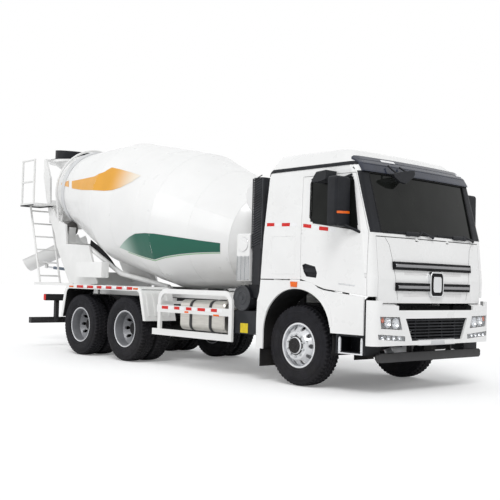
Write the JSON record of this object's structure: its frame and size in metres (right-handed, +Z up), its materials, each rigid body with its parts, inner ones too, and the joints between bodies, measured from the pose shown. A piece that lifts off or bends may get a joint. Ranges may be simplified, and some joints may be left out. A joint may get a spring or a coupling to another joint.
{
  "type": "concrete mixer truck",
  "caption": "Cab-over concrete mixer truck with a tilted white drum, rear charging hopper, swivelling discharge chute and tilting cab",
  "frame": {"origin": "on the ground under the middle of the overall length and width", "axes": "+X forward, +Y to the truck's left, +Z up"},
  "size_m": [9.8389, 3.02, 3.9396],
  "materials": {
    "white_paint": "glossy",
    "white_guard": "satin",
    "grey_paint": "satin",
    "chassis_black": "satin",
    "black_plastic": "matte",
    "tank_steel": "brushed",
    "bright_steel": "polished",
    "drive_paint": "satin",
    "roller_iron": "machined",
    "dark_glass": "clear tinted",
    "lamp_glass": "clear",
    "tyre_rubber": "matte",
    "wheel_silver": "satin"
  },
  "bodies": {
    "chassis": {"frame": "chassis_black", "axles": "chassis_black", "powertrain": "chassis_black", "fuel_tank": "tank_steel", "battery_box": "black_plastic", "silencer": "grey_paint", "air_tanks": "grey_paint", "side_guards": "white_guard", "rear_fenders": "black_plastic", "rear_bumper": "chassis_black", "front_bumper": "white_paint", "headlamps": "lamp_glass", "bumper_grille": "black_plastic", "front_fenders": "white_paint", "cab_steps": "black_plastic", "air_intake": "black_plastic", "mixer_subframe": "white_paint", "water_tank": "white_paint", "cooler": "white_paint", "drum_drive": "drive_paint", "rear_pedestal": "white_paint", "hopper": "white_paint", "discharge_funnel": "white_paint", "hopper_collar": "black_plastic", "ladder": "white_paint"},
    "cab": {"cab": "white_paint", "cab_interior": "black_plastic", "windscreen": "dark_glass", "roof_visor": "black_plastic"},
    "front_lid": {"front_panel": "white_paint", "grille_bars": "black_plastic"},
    "door_right": {"door_right": "white_paint", "glass_right": "dark_glass", "mirror_right": "black_plastic"},
    "door_left": {"door_left": "white_paint", "glass_left": "dark_glass", "mirror_left": "black_plastic"},
    "knuckle_right": {"knuckle_right": "chassis_black"},
    "knuckle_left": {"knuckle_left": "chassis_black"},
    "tie_rod": {"tie_rod": "chassis_black"},
    "drum": {"drum_shell": "white_paint", "drum_ring": "chassis_black"},
    "roller_right": {"roller_right": "roller_iron"},
    "roller_left": {"roller_left": "roller_iron"},
    "chute_swivel": {"chute_swivel": "white_paint"},
    "chute": {"chute": "white_paint"},
    "jack_tube": {"jack_tube": "drive_paint"},
    "jack_rod": {"jack_rod": "bright_steel"},
    "wheel_front_right": {"tyre_front_right": "tyre_rubber", "rim_front_right": "wheel_silver"},
    "wheel_front_left": {"tyre_front_left": "tyre_rubber", "rim_front_left": "wheel_silver"},
    "wheel_middle_right": {"tyre_middle_right": "tyre_rubber", "rim_middle_right": "wheel_silver"},
    "wheel_middle_left": {"tyre_middle_left": "tyre_rubber", "rim_middle_left": "wheel_silver"},
    "wheel_rear_right": {"tyre_rear_right": "tyre_rubber", "rim_rear_right": "wheel_silver"},
    "wheel_rear_left": {"tyre_rear_left": "tyre_rubber", "rim_rear_left": "wheel_silver"}
  },
  "joints": [
    {"name": "steer_right", "type": "hinge", "parent": "chassis", "child": "knuckle_right", "pos_m": [3.5595, -0.9, 0.527], "axis": [0, 0, 1], "range_deg": [-38, 38]},
    {"name": "steer_left", "type": "hinge", "parent": "chassis", "child": "knuckle_left", "pos_m": [3.5595, 0.9, 0.527], "axis": [0, 0, 1], "range_deg": [-38, 38]},
    {"name": "tie_rod_pivot", "type": "hinge", "parent": "knuckle_right", "child": "tie_rod", "pos_m": [3.3395, -0.9, 0.43], "axis": [0, 0, 1], "range_deg": [-39, 39]},
    {"name": "spin_front_right", "type": "hinge", "parent": "knuckle_right", "child": "wheel_front_right", "pos_m": [3.5595, -1.04, 0.527], "axis": [0, 1, 0], "continuous": true},
    {"name": "spin_front_left", "type": "hinge", "parent": "knuckle_left", "child": "wheel_front_left", "pos_m": [3.5595, 1.04, 0.527], "axis": [0, 1, 0], "continuous": true},
    {"name": "spin_middle_right", "type": "hinge", "parent": "chassis", "child": "wheel_middle_right", "pos_m": [-0.3405, -0.93, 0.527], "axis": [0, 1, 0], "continuous": true},
    {"name": "spin_middle_left", "type": "hinge", "parent": "chassis", "child": "wheel_middle_left", "pos_m": [-0.3405, 0.93, 0.527], "axis": [0, 1, 0], "continuous": true},
    {"name": "spin_rear_right", "type": "hinge", "parent": "chassis", "child": "wheel_rear_right", "pos_m": [-1.6905, -0.93, 0.527], "axis": [0, 1, 0], "continuous": true},
    {"name": "spin_rear_left", "type": "hinge", "parent": "chassis", "child": "wheel_rear_left", "pos_m": [-1.6905, 0.93, 0.527], "axis": [0, 1, 0], "continuous": true},
    {"name": "drum_spin", "type": "hinge", "parent": "chassis", "child": "drum", "pos_m": [2.0465, 0, 1.93], "axis": [-0.9781, 0, 0.2079], "continuous": true},
    {"name": "roller_spin_right", "type": "hinge", "parent": "chassis", "child": "roller_right", "pos_m": [-3.36842, -0.48768, 2.28308], "axis": [-0.9781, 0, 0.2079], "continuous": true},
    {"name": "roller_spin_left", "type": "hinge", "parent": "chassis", "child": "roller_left", "pos_m": [-3.36842, 0.48768, 2.28308], "axis": [-0.9781, 0, 0.2079], "continuous": true},
    {"name": "chute_slew", "type": "hinge", "parent": "chassis", "child": "chute_swivel", "pos_m": [-3.9905, 0, 1.6], "axis": [0, 0, 1], "range_deg": [-120, 10]},
    {"name": "chute_tilt", "type": "hinge", "parent": "chute_swivel", "child": "chute", "pos_m": [-3.9905, 0, 1.82], "axis": [-0.6428, 0.766, 0], "range_deg": [-10, 10]},
    {"name": "jack_swing", "type": "hinge", "parent": "chute_swivel", "child": "jack_tube", "pos_m": [-4.05944, -0.05785, 1.5], "axis": [-0.6428, 0.766, 0], "range_deg": [-11.5, 11.5]},
    {"name": "jack_slide", "type": "slide", "parent": "jack_tube", "child": "jack_rod", "axis": [-0.7627, -0.64, 0.0933], "range_m": [-0.0575, 0.0575]},
    {"name": "cab_tilt", "type": "hinge", "parent": "chassis", "child": "cab", "pos_m": [4.7845, 0, 0.76], "axis": [0, 1, 0], "range_deg": [0, 45]},
    {"name": "door_right_swing", "type": "hinge", "parent": "cab", "child": "door_right", "pos_m": [4.7545, -1.215, 1.9], "axis": [0, 0, 1], "range_deg": [0, 70]},
    {"name": "door_left_swing", "type": "hinge", "parent": "cab", "child": "door_left", "pos_m": [4.7545, 1.215, 1.9], "axis": [0, 0, -1], "range_deg": [0, 70]},
    {"name": "front_lid_lift", "type": "hinge", "parent": "cab", "child": "front_lid", "pos_m": [4.7975, 0, 1.92], "axis": [0, -1, 0], "range_deg": [0, 75]}
  ],
  "couplings": [
    {"joint": "steer_left", "follows": "steer_right", "ratio": 1},
    {"joint": "tie_rod_pivot", "follows": "steer_right", "ratio": -1},
    {"joint": "roller_spin_right", "follows": "drum_spin", "ratio": -5.1333},
    {"joint": "roller_spin_left", "follows": "drum_spin", "ratio": -5.1333},
    {"joint": "jack_swing", "follows": "chute_tilt", "ratio": 1.13},
    {"joint": "jack_slide", "follows": "chute_tilt", "m_per_rad": 0.3254}
  ]
}
